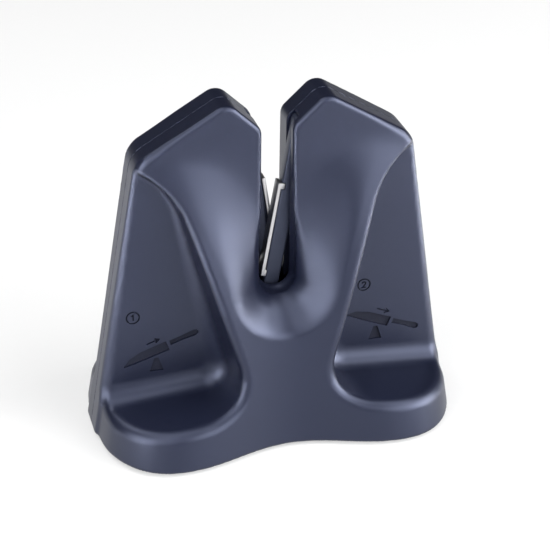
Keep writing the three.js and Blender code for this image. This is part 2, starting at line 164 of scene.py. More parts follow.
def past_face(x, y, z):
    step = 0.05 * mm
    value = flare(x, y, z)
    lean = [flare(x + step, y, z) - value, flare(x, y + step, z) - value, flare(x, y, z + step) - value]
    steepness = np.sqrt(lean[0] ** 2 + lean[1] ** 2 + lean[2] ** 2) / step
    past_flare = value / np.maximum(steepness, 0.3)
    past_horn = y - horn_half_depth
    blend = np.maximum(horn_blend - np.abs(past_flare - past_horn), 0) / horn_blend
    return np.minimum(past_flare, past_horn) - blend ** 2 * horn_blend / 4


def scoop(x, y, z):
    out = y - scoop_floor
    drawn_x = x + math.tan(scoop_draft) * out
    turn = past_line(drawn_x, z, scoop_top, scoop_turn)
    side = past_line(drawn_x, z, scoop_turn, scoop_neck)
    side = rounded_max(side, turn, scoop_turn_radius, line_lean(scoop_top, scoop_turn, scoop_neck))
    side = side * math.cos(scoop_draft)
    fall = (x - foot_half_spacing) * math.tan(ledge_fall)
    ledge = (ledge_height + out * math.tan(ledge_rise) - fall - z) * math.cos(ledge_rise)
    corner = scoop_corner_radius + scoop_corner_spread * np.maximum(out, 0)
    level = (scoop_neck[0] + base_half_width, scoop_neck[1])
    side = rounded_max(side, ledge, corner, -line_lean(scoop_turn, scoop_neck, level))
    return rounded_max(side, -out, np.interp(z, scoop_heights, scoop_fillets), math.sin(scoop_draft))


def outer_form(x, y, z):
    x, y = np.abs(x), np.abs(y)
    near_foot = np.clip(1 - np.hypot(x, np.maximum(z - slot_centre, 0)) / slot_foot_reach, 0, 1)
    rim = np.interp(x, (side_rim_start, shoulder[0]), (rim_radius, side_rim_radius))
    rim = rim + (slot_foot_radius - rim) * near_foot
    form = rounded_max(front_outline(x, z), past_face(x, y, z), rim, slot_foot_lean * near_foot)
    form = rounded_max(form, -scoop(x, y, z), np.interp(z, scoop_heights, scoop_lips))
    return rounded_max(form, -z, base_radius)


joint = next(j for j in frame["record"]["behaviour"]["joints"] if j["name"] == "right_jaw_pivot")
pivot = Vector(joint["pos_m"])
pivot_height = pivot.z - underside
jaw_opening = math.radians(joint["range_deg"][1])
fit_gap = 0.1 * mm
running_gap = 0.3 * mm
jaw_half_width = 1.8 * mm
jaw_front = -3.15 * mm
jaw_back = -0.25 * mm
jaw_cross_height = 52 * mm
jaw_tip_height = 73.5 * mm
strip_thickness = 0.8 * mm
strip_face = jaw_half_width + fit_gap + strip_thickness
cross_rise = jaw_cross_height - pivot_height
jaw_tilt = math.atan(-pivot.x / cross_rise) + math.asin(strip_face / math.hypot(pivot.x, cross_rise))
jaw_length = (jaw_tip_height - pivot_height) / math.cos(jaw_tilt)

pin_radius = 1.5 * mm
pin_grip = 7 * mm
hub_radius = 3.2 * mm
hub_front = -8.45 * mm
boss_radius = 2.8 * mm
short_boss_end = hub_front - running_gap
long_boss_end = -0.35 * mm
spring_wire = 0.8 * mm
coil_radius = hub_radius + running_gap + spring_wire / 2
coil_back = jaw_front - running_gap - spring_wire / 2
coil_front = coil_back - 3.75 * mm
spring_tail = coil_radius + 2.6 * mm
stop_radius = 1.3 * mm
rest_stop_reach = 12 * mm
open_stop_reach = 45 * mm
screw_places = [(side * x, z) for x, z in ((18 * mm, 60 * mm), (19.5 * mm, 4.9 * mm)) for side in (-1, 1)]
screw_hole_radius = 1.3 * mm
screw_well_radius = 2.6 * mm
screw_wall = 1.2 * mm
screw_land = 3.4 * mm
screw_hole_end = 4.9 * mm
foot_pad_place = (base_half_width - 11.5 * mm, foot_half_depth - 11.9 * mm)
foot_pad_radius = 4.5 * mm
foot_pad_sink = 1.2 * mm
hole_edge = 0.25 * mm


def from_jaw(x, z, swing=0):
    """A place drawn on the upright jaw, from its pivot, as a place in the front view of the shell."""
    angle = jaw_tilt + swing
    across = pivot.x + x * math.cos(angle) + z * math.sin(angle)
    return across, pivot_height - x * math.sin(angle) + z * math.cos(angle)


def bar(x, z, centre, radius):
    return np.hypot(x - centre[0], z - centre[1]) - radius


def jaw_slit(x, y, z):
    """The space that the jaw sweeps through between rest and wide open."""
    closed_side, open_side = -strip_face - running_gap, jaw_half_width + running_gap
    closed = past_line(x, z, from_jaw(closed_side, jaw_length), from_jaw(closed_side, 0))
    open_low = from_jaw(open_side, 0, jaw_opening)
    opened = past_line(x, z, open_low, from_jaw(open_side, jaw_length, jaw_opening))
    reach = bar(x, z, (pivot.x, pivot_height), jaw_length + running_gap)
    ends = np.maximum(pivot_height - z, jaw_front - running_gap - y)
    return np.maximum(np.maximum(closed, opened), np.maximum(reach, ends))


stop_side = jaw_half_width + fit_gap + stop_radius
tail_side = coil_radius - spring_wire / 2 - fit_gap - stop_radius
posts = (
    ((pivot.x, pivot_height), boss_radius, short_boss_end),
    ((-pivot.x, pivot_height), boss_radius, long_boss_end),
    (from_jaw(tail_side, -spring_tail), stop_radius, coil_front + spring_wire),
    (from_jaw(-stop_side, rest_stop_reach), stop_radius, -running_gap),
    (from_jaw(stop_side, open_stop_reach, jaw_opening), stop_radius, -running_gap),
)


def screw_bosses(body, form, x, y, z):
    for place in screw_places:
        boss = np.maximum(form, bar(x, z, place, screw_hole_radius + screw_wall))
        hole = np.maximum(bar(x, z, place, screw_hole_radius), -screw_hole_end - y)
        body = np.maximum(np.minimum(body, boss), -hole)
    return body


def screw_wells(body, form, x, y, z):
    for place in screw_places:
        tube = np.maximum(form, bar(x, z, place, screw_well_radius + screw_wall))
        well = np.maximum(bar(x, z, place, screw_well_radius), y + screw_land)
        body = rounded_max(np.minimum(body, tube), -well, hole_edge)
        body = np.maximum(body, -bar(x, z, place, screw_hole_radius))
    return body


def half_shell(screwed):
    def field(x, y, z):
        form = outer_form(x, y, z)
        body = rounded_max(np.maximum(form, -(form + wall)), -jaw_slit(x, y, z), hole_edge)
        for centre, radius, end in posts:
            body = np.minimum(body, np.maximum(form, np.maximum(bar(x, z, centre, radius), y - end)))
        for side, end in ((1, short_boss_end), (-1, long_boss_end)):
            hole = bar(x, z, (side * pivot.x, pivot_height), pin_radius + fit_gap)
            body = np.maximum(body, -np.maximum(hole, end - pin_grip - y))
        body = screwed(body, form, x, y, z)
        pad = bar(np.abs(x), y, (foot_pad_place[0], -foot_pad_place[1]), foot_pad_radius + fit_gap)
        body = rounded_max(body, -np.maximum(pad, z - foot_pad_sink), hole_edge)
        return rounded_max(body, y + parting_gap, parting_radius)
    return field


def skin(field, xs, ys, zs):
    """Quads over the zero surface of a field, with one vertex in each grid cell that it crosses."""
    lines = (xs, ys, zs)
    value = field(xs[:, None, None], ys[None, :, None], zs[None, None, :])
    cells = [len(line) - 1 for line in lines]
    corners, places, quads = [], [], []
    for axis in range(3):
        low = np.moveaxis(np.moveaxis(value, axis, 0)[:-1], 0, axis)
        high = np.moveaxis(np.moveaxis(value, axis, 0)[1:], 0, axis)
        edge = np.argwhere((low < 0) != (high < 0))
        at = tuple(edge.T)
        place = np.stack([line[edge[:, n]] for n, line in enumerate(lines)], axis=1)
        place[:, axis] += np.diff(lines[axis])[at[axis]] * low[at] / (low[at] - high[at])
        others = [n for n in range(3) if n != axis]
        ring = []
        for first, second in ((-1, -1), (0, -1), (0, 0), (-1, 0)):
            cell = edge.copy()
            cell[:, others[0]] += first
            cell[:, others[1]] += second
            ring.append(np.ravel_multi_index(cell.T, cells))
        ring = np.stack(ring, axis=1)
        flipped = (low[at] < 0) == (axis == 1)
        quads.append(np.where(flipped[:, None], ring[:, ::-1], ring))
        corners.append(ring.ravel())
        places.append(np.repeat(place, 4, axis=0))
    used, index = np.unique(np.concatenate(corners), return_inverse=True)
    places = np.concatenate(places)
    count = np.bincount(index)
    points = np.stack([np.bincount(index, places[:, n]) / count for n in range(3)], axis=1)
    return points, np.searchsorted(used, np.concatenate(quads))


def slope(field, points):
    step = 0.02 * mm
    sides = []
    for axis in np.eye(3) * step:
        sides.append((field(*(points + axis).T) - field(*(points - axis).T)) / (2 * step))
    return np.stack(sides, axis=1)


def settle(field, points):
    longest = 0.2 * mm
    for _ in range(3):
        lean = slope(field, points)
        move = field(*points.T) / np.maximum((lean ** 2).sum(axis=1), 0.2)
        points = points - lean * np.clip(move, -longest, longest)[:, None]
    return points


def spaced(*stops):
    """Grid lines from stop to stop, where each stop gives a place and the spacing up to the next."""
    lines = []
    for (start, spacing), (end, _) in zip(stops, stops[1:]):
        lines.append(np.linspace(start, end, math.ceil((end - start) / spacing), endpoint=False))
    return np.append(np.concatenate(lines), stops[-1][0])


def moulding(name, field):
    edge = base_half_width + mm
    xs = spaced((-edge, 0.68 * mm), (-9 * mm, 0.45 * mm), (9 * mm, 0.68 * mm), (edge, 0))
    ys = spaced(
        (-foot_half_depth - mm, 0.65 * mm), (-7 * mm, 0.5 * mm), (-mm, 0.2 * mm),
        (-0.2 * mm, 0.06 * mm), (0.1 * mm, 0),
    )
    zs = spaced((-mm, 0.56 * mm), (peak[1] + mm, 0))
    points, quads = skin(field, xs, ys, zs)
    mesh = bpy.data.meshes.new(name)
    mesh.from_pydata(settle(field, points), [], quads.tolist())
    return mesh


def read(collection, name, width, kind=np.float32):
    values = np.empty(len(collection) * width, kind)
    collection.foreach_get(name, values)
    return values.reshape(-1, width) if width > 1 else values


sharp_edge = math.radians(40)


def shade_from(mesh, field):
    """Smooth shading with the field's own normals, but flat in the sunk marks and past sharp edges."""
    points = read(mesh.vertices, "co", 3).astype(float)
    normals = slope(field, points)
    normals /= np.maximum(np.linalg.norm(normals, axis=1), 1e-9)[:, None]
    face_normals = read(mesh.polygons, "normal", 3)
    face_of = np.repeat(np.arange(len(mesh.polygons)), read(mesh.polygons, "loop_total", 1, np.int32))
    loop_normals = normals[read(mesh.loops, "vertex_index", 1, np.int32)]
    flat = face_normals[face_of]
    sunk = field(*read(mesh.polygons, "center", 3).astype(float).T) < -mark_depth / 3
    plain = sunk[face_of] | ((loop_normals * flat).sum(axis=1) < math.cos(sharp_edge))
    loop_normals[plain] = flat[plain]
    mesh.shade_smooth()
    mesh.normals_split_custom_set(loop_normals.tolist())
    return sunk


front_field, rear_field = half_shell(screw_bosses), half_shell(screw_wells)
front_mesh = moulding("front_shell_moulding", front_field)
rear_mesh = moulding("rear_shell_moulding", rear_field)

mark_depth = 0.4 * mm
mark_width = 0.32 * mm
marks = bmesh.new()


def groove(left, right, closed=False):
    """A cutter for a sunk mark on the scoop's floor, between two lines drawn in the front view."""
    rows = []
    for y in (-scoop_floor - mm, -scoop_floor + mark_depth):
        rows.append([[marks.verts.new((x, y, z)) for x, z in line] for line in (left, right)])
    (front_left, front_right), (back_left, back_right) = rows
    sides = (front_left, front_right, back_right, back_left)
    count = len(left)
    for n in range(count if closed else count - 1):
        after = (n + 1) % count
        for one, two in zip(sides, sides[1:] + sides[:1]):
            marks.faces.new((one[n], one[after], two[after], two[n]))
    if not closed:
        marks.faces.new([side[0] for side in sides])
        marks.faces.new([side[-1] for side in reversed(sides)])


def stroke(points, closed=False):
    """A groove of even width along a drawn line, mitred at its corners."""
    points = [Vector(point) for point in points]
    left, right = [], []
    for n, point in enumerate(points):
        before = point - points[n - 1] if n or closed else points[1] - point
        after = points[(n + 1) % len(points)] - point if closed or n + 1 < len(points) else before
        before, after = before.normalized(), after.normalized()
        across = (before.orthogonal() + after.orthogonal()).normalized()
        across *= mark_width / 2 / max(across.dot(after.orthogonal()), 0.5)
        left.append(point + across)
        right.append(point - across)
    groove(left, right, closed)


def drawn(origin, scale, points, lean=0):
    turn = Matrix.Rotation(lean, 2)
    return [Vector(origin) * mm + turn @ Vector(point) * scale * mm for point in points]


numeral_one = ((-0.32, 0.3), (0.06, 0.62), (0.06, -0.62))
numeral_two = (
    (-0.38, 0.3), (-0.28, 0.53), (0, 0.64), (0.29, 0.53), (0.36, 0.24),
    (0.2, -0.04), (-0.36, -0.6), (0.42, -0.6),
)
numeral_scale = 1.15
ring_radius = 1.45
ring_turns = np.arange(36) * math.pi / 18
ring_line = [(ring_radius * math.cos(turn), ring_radius * math.sin(turn)) for turn in ring_turns]
for place, numeral in (((-32.7, 29.9), numeral_one), ((21.3, 30.7), numeral_two)):
    stroke(drawn(place, 1, ring_line), closed=True)
    stroke(drawn(place, numeral_scale, numeral))

knife_scale = 1.15
blade_spine = ((-8.2, -0.7), (-6.6, 0.5), (-4, 1.1), (1, 1.2), (1.4, 1.15))
blade_edge = ((-8, -0.85), (-6, -0.95), (-4, -1), (1, -1), (1.4, -0.95))
handle_top = ((2, 1), (4.5, 1.05), (7.2, 1.25), (8, 0.9))
handle_foot = ((2, -0.1), (4.5, 0), (7.2, -0.2), (8, 0.15))
stand_left = ((-0.5, 3.4), (-1.05, 1.7), (-1.6, 0))
stand_right = ((0.5, 3.4), (1.05, 1.7), (1.6, 0))
arrow_shaft = ((-1.5, 0), (1.1, 0))
arrow_head = ((0.55, 0.6), (1.5, 0), (0.55, -0.6))
arrow_place = (-1.2, 2.6)
for middle, lean, stand in (
    ((-26.4, 20.9), math.radians(18), (-27.6, 15.2)),
    ((26.4, 20.4), math.radians(-22), (24.6, 15.7)),
):
    for upper, lower in ((blade_spine, blade_edge), (handle_top, handle_foot)):
        groove(drawn(middle, knife_scale, upper, lean), drawn(middle, knife_scale, lower, lean))
    groove(drawn(stand, 1, stand_left), drawn(stand, 1, stand_right))
    above = Vector(middle) + Matrix.Rotation(lean, 2) @ Vector(arrow_place)
    stroke(drawn(above, 1, arrow_shaft, lean))
    stroke(drawn(above, 1, arrow_head, lean))


def to_mesh(shape, name="work"):
    mesh = bpy.data.meshes.new(name)
    bmesh.ops.recalc_face_normals(shape, faces=shape.faces)
    shape.to_mesh(mesh)
    shape.free()
    return mesh


def combined(mesh, other, operation, solver="EXACT"):
    """One mesh joined with another, or cut by it."""
    base, tool = (bpy.data.objects.new("work", part) for part in (mesh, other))
    scene.collection.objects.link(base)
    scene.collection.objects.link(tool)
    step = base.modifiers.new("join", "BOOLEAN")
    step.object, step.operation, step.solver = tool, operation, solver
    made = bpy.data.meshes.new_from_object(base.evaluated_get(bpy.context.evaluated_depsgraph_get()))
    made.name = mesh.name
    bpy.data.objects.remove(base)
    bpy.data.objects.remove(tool)
    return made


class Wire:
    """One output in a shader tree, on which sums are written and further nodes are hung."""

    def __init__(self, tree, socket):
        self.tree, self.socket = tree, socket

    def node(self, kind, settings, sockets, output=0):
        made = self.tree.nodes.new(kind)
        for name, value in settings.items():
            setattr(made, name, value)
        feed(made, sockets)
        return Wire(self.tree, made.outputs[output])

    def maths(self, operation, first, second):
        return self.node("ShaderNodeMath", {"operation": operation}, {0: first, 1: second})

    def __add__(self, other):
        return self.maths("ADD", self, other)

    def __mul__(self, other):
        return self.maths("MULTIPLY", self, other)

    __radd__ = __add__
    __rmul__ = __mul__


def feed(node, sockets):
    for name, value in sockets.items():
        if isinstance(value, Wire):
            value.tree.links.new(value.socket, node.inputs[name])
        else:
            node.inputs[name].default_value = value


def surface(name):
    material = bpy.data.materials.new(name)
    material.use_nodes = True
    tree = material.node_tree
    place = Wire(tree, tree.nodes.new("ShaderNodeTexCoord").outputs["Object"])
    return material, tree.nodes["Principled BSDF"], place


def noise(place, size, detail=3, stretch=(1, 1, 1)):
    """Noise from 0 to 1 with spots of the given size, drawn out along the axes by stretch."""
    spots = [size * along for along in stretch]
    across = place.node("ShaderNodeVectorMath", {"operation": "DIVIDE"}, {0: place, 1: spots})
    return place.node("ShaderNodeTexNoise", {}, {"Vector": across, "Scale": 1, "Detail": detail})


def mixed(share, first, second):
    colours = {0: share, 6: (*first, 1), 7: (*second, 1)}
    return share.node("ShaderNodeMix", {"data_type": "RGBA"}, colours, 2)


def bumped(height, depth):
    return height.node("ShaderNodeBump", {}, {"Strength": 1, "Distance": depth, "Height": height})


def add_piece(mesh, name, materials, node, body=None):
    mesh.materials.clear()
    for material in materials:
        mesh.materials.append(material)
    made = bpy.data.objects.new(name, mesh)
    scene.collection.objects.link(made)
    if body:
        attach(made, body)
    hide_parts(node)
    return made


front_mesh = combined(front_mesh, to_mesh(marks), "DIFFERENCE", "MANIFOLD")
sunk = shade_from(front_mesh, front_field)
shade_from(rear_mesh, rear_field)
half_turn = Matrix.Rotation(math.pi, 4, "Z")
on_table = Matrix.Translation((0, 0, underside))
front_mesh.transform(on_table)
rear_mesh.transform(half_turn @ on_table)

navy_plastic, shader, place = surface("navy_plastic")
cloud, grain = noise(place, 6 * mm), noise(place, 0.12 * mm)
feed(shader, {
    "Base Color": mixed(cloud, (0.0028, 0.0038, 0.0110), (0.0038, 0.0050, 0.0140)),
    "Roughness": 0.33 + 0.04 * cloud + 0.04 * grain,
    "Normal": bumped(grain, 0.002 * mm),
    "IOR": 1.68,
    "Specular IOR Level": 0.46,
    "Specular Tint": (0.64, 0.71, 1, 1),
})
sunk_plastic, shader, place = surface("sunk_plastic")
spark = noise(place, 0.1 * mm)
feed(shader, {
    "Base Color": mixed(spark, (0.0040, 0.0052, 0.0130), (0.0060, 0.0078, 0.0190)),
    "Roughness": 0.65 + 0.1 * spark,
    "Normal": bumped(spark, 0.01 * mm),
    "Specular IOR Level": 0.25,
})
front_plastics = [navy_plastic, sunk_plastic]
add_piece(front_mesh, "front_shell_moulding", front_plastics, "front_shell", "body")
front_mesh.polygons.foreach_set("material_index", sunk.astype(np.int32))
add_piece(rear_mesh, "rear_shell_moulding", [navy_plastic], "rear_shell", "body")

# Pivot pins: plain zinc-plated steel pins with eased ends, one through each jaw's hub.
# Each end is held in a boss, one in the front half shell and one in the rear.


def eased(corners, radius, steps=4):
    """A line through the corners, with each corner but the ends rounded off."""
    corners = [Vector(corner) for corner in corners]
    line = [corners[0]]
    for before, corner, after in zip(corners, corners[1:], corners[2:]):
        start = corner + (before - corner).normalized() * radius
        end = corner + (after - corner).normalized() * radius
        for n in range(steps + 1):
            share = n / steps
            line.append(start.lerp(corner, share).lerp(corner.lerp(end, share), share))
    return line + [corners[-1]]


def turned(rings, sides=48):
    """A solid turned about Y, from rings of a radius, or one for each side, and a place along Y."""
    angles = np.arange(sides) * 2 * np.pi / sides
    shape = bmesh.new()
    rows = []
    for radius, y in rings:
        points = np.stack([radius * np.cos(angles), np.full(sides, y), radius * np.sin(angles)], axis=1)
        rows.append([shape.verts.new(point) for point in points])
    for row, after in zip(rows, rows[1:]):
        for n in range(sides):
            shape.faces.new((row[n - 1], row[n], after[n], after[n - 1]))
    bmesh.ops.remove_doubles(shape, verts=shape.verts, dist=1e-8)
    return to_mesh(shape)


def smooth(mesh, sharpest=35):
    mesh.shade_smooth()
    mesh.set_sharp_from_angle(angle=math.radians(sharpest))
    return mesh


zinc_steel, shader, place = surface("zinc_steel")
tarnish, drawn_line = noise(place, 1.2 * mm), noise(place, 0.15 * mm, stretch=(1, 12, 1))
feed(shader, {
    "Base Color": mixed(tarnish, (0.50, 0.52, 0.55), (0.62, 0.63, 0.65)),
    "Roughness": 0.26 + 0.1 * tarnish + 0.08 * drawn_line,
    "Normal": bumped(drawn_line, 0.002 * mm),
    "Metallic": 1,
})
right_side = Matrix.Translation(pivot) @ Matrix.Rotation(jaw_tilt, 4, "Y")
jaw_sides = (("right", right_side), ("left", half_turn @ right_side))
pin_rear_reach = 7.3 * mm
pin_bevel = 0.25 * mm
pin_front, pin_back = hub_front - pin_grip, jaw_back + pin_rear_reach
pin_line = eased([
    (0, pin_front), (pin_radius, pin_front), (pin_radius, pin_back), (0, pin_back),
], pin_bevel)
for side, upright in jaw_sides:
    pin = smooth(turned(pin_line))
    pin.transform(upright)
    node = side + "_pivot_pin"
    add_piece(pin, node + "_turning", [zinc_steel], node, "body")

# Torsion springs: each is one drawn steel wire with three turns round the jaw's hub.
# The tail bears on a post in the half shell and the arm on the outer side of the jaw.
spring_turns = 3
spring_arm = 13 * mm
spring_arm_side = jaw_half_width + fit_gap + spring_wire / 2
spring_bend_start, spring_bend_end = 4.3 * mm, 9 * mm
jaw_middle = (jaw_front + jaw_back) / 2
coil_length = spring_turns * 2 * math.pi * coil_radius
along = np.linspace(0, spring_tail + coil_length + spring_arm, 260)
coiled = np.clip((along - spring_tail) / coil_length, 0, 1)
turn_angle = coiled * spring_turns * 2 * np.pi
arm = np.maximum(along - spring_tail - coil_length, 0)
settled = np.minimum(arm / (spring_arm / 2), 1)
settled = settled ** 2 * (3 - 2 * settled)
wire_line = np.stack([
    coil_radius * np.cos(turn_angle) * (1 - settled) + spring_arm_side * settled,
    (coil_front + (coil_back - coil_front) * coiled) * (1 - settled) + jaw_middle * settled,
    coil_radius * np.sin(turn_angle) - np.maximum(spring_tail - along, 0) + arm,
], axis=1)
spring_steel, shader, place = surface("spring_steel")
drawn_line, tarnish = noise(place, 0.1 * mm, stretch=(1, 6, 1)), noise(place, 0.8 * mm)
feed(shader, {
    "Base Color": mixed(tarnish, (0.36, 0.37, 0.39), (0.50, 0.51, 0.53)),
    "Roughness": 0.24 + 0.16 * drawn_line,
    "Normal": bumped(drawn_line, 0.002 * mm),
    "Metallic": 1,
})
for side, upright in jaw_sides:
    curve = bpy.data.curves.new("wire", "CURVE")
    curve.dimensions = "3D"
    curve.bevel_depth = spring_wire / 2
    curve.bevel_resolution = 3
    curve.use_fill_caps = True
    spline = curve.splines.new("POLY")
    spline.points.add(len(wire_line) - 1)
    spline.points.foreach_set("co", np.column_stack([wire_line, np.ones(len(wire_line))]).ravel())
    drawn_wire = bpy.data.objects.new("wire", curve)
    spring = bpy.data.meshes.new_from_object(drawn_wire)
    bpy.data.objects.remove(drawn_wire)
    spring.transform(upright)
    node = side + "_torsion_spring"
    spring = add_piece(smooth(spring), node + "_wire", [spring_steel], node)
    start, end = (upright @ Vector((0, jaw_middle, rise)) for rise in (spring_bend_start, spring_bend_end))
    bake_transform(spring)

# Jaws: two crossed arms moulded in smooth navy plastic, each with a long hub that turns on its pin.
# They lie side by side in the slot, and their inner edges hold the metal strips in shallow recesses.
strip_heights = (35 * mm, 57.8 * mm)
strip_low, strip_high = ((height - pivot_height) / math.cos(jaw_tilt) for height in strip_heights)
strip_tab_height = 1.4 * mm
strip_tabs = ((strip_low, 0.3 * mm), (strip_high - strip_tab_height, 0.7 * mm))
jaw_tip_radius = 1.5 * mm
jaw_bevel = 0.35 * mm
hub_bevel = 0.3 * mm


def block(low, high):
    shape = bmesh.new()
    low, high = Vector(low), Vector(high)
    bmesh.ops.create_cube(shape, size=1, matrix=Matrix.LocRotScale((low + high) / 2, None, high - low))
    return to_mesh(shape)


def bevelled(mesh, width, steps=3):
    shape = bmesh.new()
    shape.from_mesh(mesh)
    bmesh.ops.dissolve_limit(shape, angle_limit=math.radians(1), verts=shape.verts, edges=shape.edges)
    edges = [edge for edge in shape.edges if edge.calc_face_angle(0) > sharp_edge]
    bmesh.ops.bevel(shape, geom=edges, offset=width, segments=steps, profile=0.5, affect="EDGES")
    return to_mesh(shape)


tip_line = eased([
    (-jaw_half_width, 0), (-jaw_half_width, jaw_length), (jaw_half_width, jaw_length), (jaw_half_width, 0),
], jaw_tip_radius, 8)
jaw_shape = bmesh.new()
jaw_face = jaw_shape.faces.new([jaw_shape.verts.new((x, jaw_front, z)) for x, z in tip_line])
raised = bmesh.ops.extrude_face_region(jaw_shape, geom=[jaw_face])["geom"]
bmesh.ops.translate(
    jaw_shape, verts=[part for part in raised if isinstance(part, bmesh.types.BMVert)],
    vec=(0, jaw_back - jaw_front, 0),
)
jaw_mesh = bevelled(to_mesh(jaw_shape), jaw_bevel)
hub_line = eased([
    (0, hub_front), (hub_radius, hub_front), (hub_radius, jaw_back), (0, jaw_back),
], hub_bevel)
jaw_mesh = combined(jaw_mesh, turned(hub_line), "UNION")
bore_radius = pin_radius + fit_gap
bore = turned([(0, 2 * hub_front), (bore_radius, 2 * hub_front), (bore_radius, mm), (0, mm)])
jaw_mesh = combined(jaw_mesh, bore, "DIFFERENCE")
for foot, reach in strip_tabs:
    recess = block((-2 * strip_face, 2 * jaw_front, foot - fit_gap), (
        -jaw_half_width + reach + fit_gap,
        jaw_front + strip_thickness + fit_gap,
        foot + strip_tab_height + fit_gap,
    ))
    jaw_mesh = combined(jaw_mesh, recess, "DIFFERENCE")
jaw_plastic, shader, place = surface("jaw_plastic")
cloud, rubbed = noise(place, 4 * mm), noise(place, 0.3 * mm, stretch=(1, 1, 5))
feed(shader, {
    "Base Color": mixed(cloud, (0.0085, 0.0105, 0.0190), (0.0115, 0.0140, 0.0245)),
    "Roughness": 0.36 + 0.05 * cloud + 0.05 * rubbed,
    "Normal": bumped(rubbed, 0.003 * mm),
    "IOR": 1.68,
    "Specular IOR Level": 0.46,
    "Specular Tint": (0.64, 0.71, 1, 1),
})
for side, upright in jaw_sides:
    arm_mesh = smooth(jaw_mesh.copy())
    arm_mesh.transform(upright)
    node = side + "_jaw"
    add_piece(arm_mesh, node + "_moulding", [jaw_plastic], node, side + "_jaw_arm")

# Jaw strips: ground plates of bright steel along the jaws' inner edges, which draw over the blade.
# A tab at each end is bent round the front of the jaw into its recess.
strip_inner = -jaw_half_width - fit_gap
strip_outer = strip_inner - strip_thickness
strip_bevel = 0.12 * mm
strip_mesh = block((strip_outer, jaw_front, strip_low), (strip_inner, jaw_back, strip_high))
for foot, reach in strip_tabs:
    tab = block(
        (strip_outer, jaw_front, foot),
        (-jaw_half_width + reach, jaw_front + strip_thickness, foot + strip_tab_height),
    )
    strip_mesh = combined(strip_mesh, tab, "UNION")
strip_mesh = bevelled(strip_mesh, strip_bevel, 2)
bright_steel, shader, place = surface("bright_steel")
ground_line, worn = noise(place, 0.12 * mm, stretch=(1, 14, 1)), noise(place, 1.5 * mm)
feed(shader, {
    "Base Color": mixed(worn, (0.46, 0.46, 0.47), (0.58, 0.58, 0.59)),
    "Roughness": 0.26 + 0.12 * ground_line + 0.06 * worn,
    "Normal": bumped(ground_line, 0.003 * mm),
    "Metallic": 1,
})
for side, upright in jaw_sides:
    plate = smooth(strip_mesh.copy())
    plate.transform(upright)
    node = side + "_jaw_strip"
    add_piece(plate, node + "_plate", [bright_steel], node, side + "_jaw_arm")

# Thrust washers: thin rings of white nylon, loose on the pins.
# Each lies between a jaw's hub and the boss in the half shell across from it.
washer_reach = 0.5 * mm
washer_bevel = 0.08 * mm
washer_front, washer_back = jaw_back + fit_gap, jaw_back + washer_reach
washer_middle = (washer_front + washer_back) / 2
washer_line = eased([
    (bore_radius, washer_middle), (bore_radius, washer_front), (boss_radius, washer_front),
    (boss_radius, washer_back), (bore_radius, washer_back), (bore_radius, washer_middle),
], washer_bevel)
white_nylon, shader, place = surface("white_nylon")
cloud = noise(place, 0.7 * mm)
feed(shader, {
    "Base Color": mixed(cloud, (0.74, 0.73, 0.69), (0.82, 0.81, 0.78)),
    "Roughness": 0.42 + 0.12 * cloud,
    "Normal": bumped(noise(place, 0.1 * mm), 0.002 * mm),
    "Subsurface Weight": 0.1,
    "Subsurface Radius": (mm, mm, mm),
})
for side, upright in jaw_sides:
    washer = smooth(turned(washer_line))
    washer.transform(upright)
    node = side + "_thrust_washer"
    add_piece(washer, node + "_ring", [white_nylon], node, "body")

# Screws: four zinc-plated pan heads with a cross recess, sunk in wells in the rear half shell.
# Their threads are cut into bosses in the front half shell.
screw_shank_radius = 1.2 * mm
screw_head_radius = 2.3 * mm
screw_head, screw_top = screw_land + fit_gap, screw_land + 1.7 * mm
screw_head_round = 0.65 * mm
screw_tip = running_gap - screw_hole_end
thread_pitch = 0.8 * mm
thread_depth = 0.25 * mm
thread_end = 0.5 * mm
drive_half_length, drive_half_width, drive_depth = 1.4 * mm, 0.35 * mm, 0.8 * mm
thread_sides = 32
thread_turn = np.arange(thread_sides) / thread_sides
screw_rings = []
for y in np.linspace(screw_tip, screw_head, 90):
    crest = np.abs(2 * ((y / thread_pitch - thread_turn) % 1) - 1)
    run_out = np.clip((screw_head - y - thread_end) / thread_pitch, 0, 1)
    core = min(screw_shank_radius, y - screw_tip)
    screw_rings.append((np.maximum(core - thread_depth * crest * run_out, 0), y))
screw_rings += eased([
    (screw_shank_radius, screw_head), (screw_head_radius, screw_head),
    (screw_head_radius, screw_top), (0, screw_top),
], screw_head_round)[1:]
screw_mesh = turned(screw_rings, thread_sides)
for across, up in ((drive_half_length, drive_half_width), (drive_half_width, drive_half_length)):
    drive = block((-across, screw_top - drive_depth, -up), (across, screw_top + mm, up))
    screw_mesh = combined(screw_mesh, drive, "DIFFERENCE")
for x, height in screw_places:
    node = "%s_%s_screw" % ("upper" if height > slot_floor else "lower", "right" if x > 0 else "left")
    fastener = smooth(screw_mesh.copy())
    fastener.transform(Matrix.Translation((x, 0, height + underside)))
    add_piece(fastener, node + "_thread", [zinc_steel], node, "body")

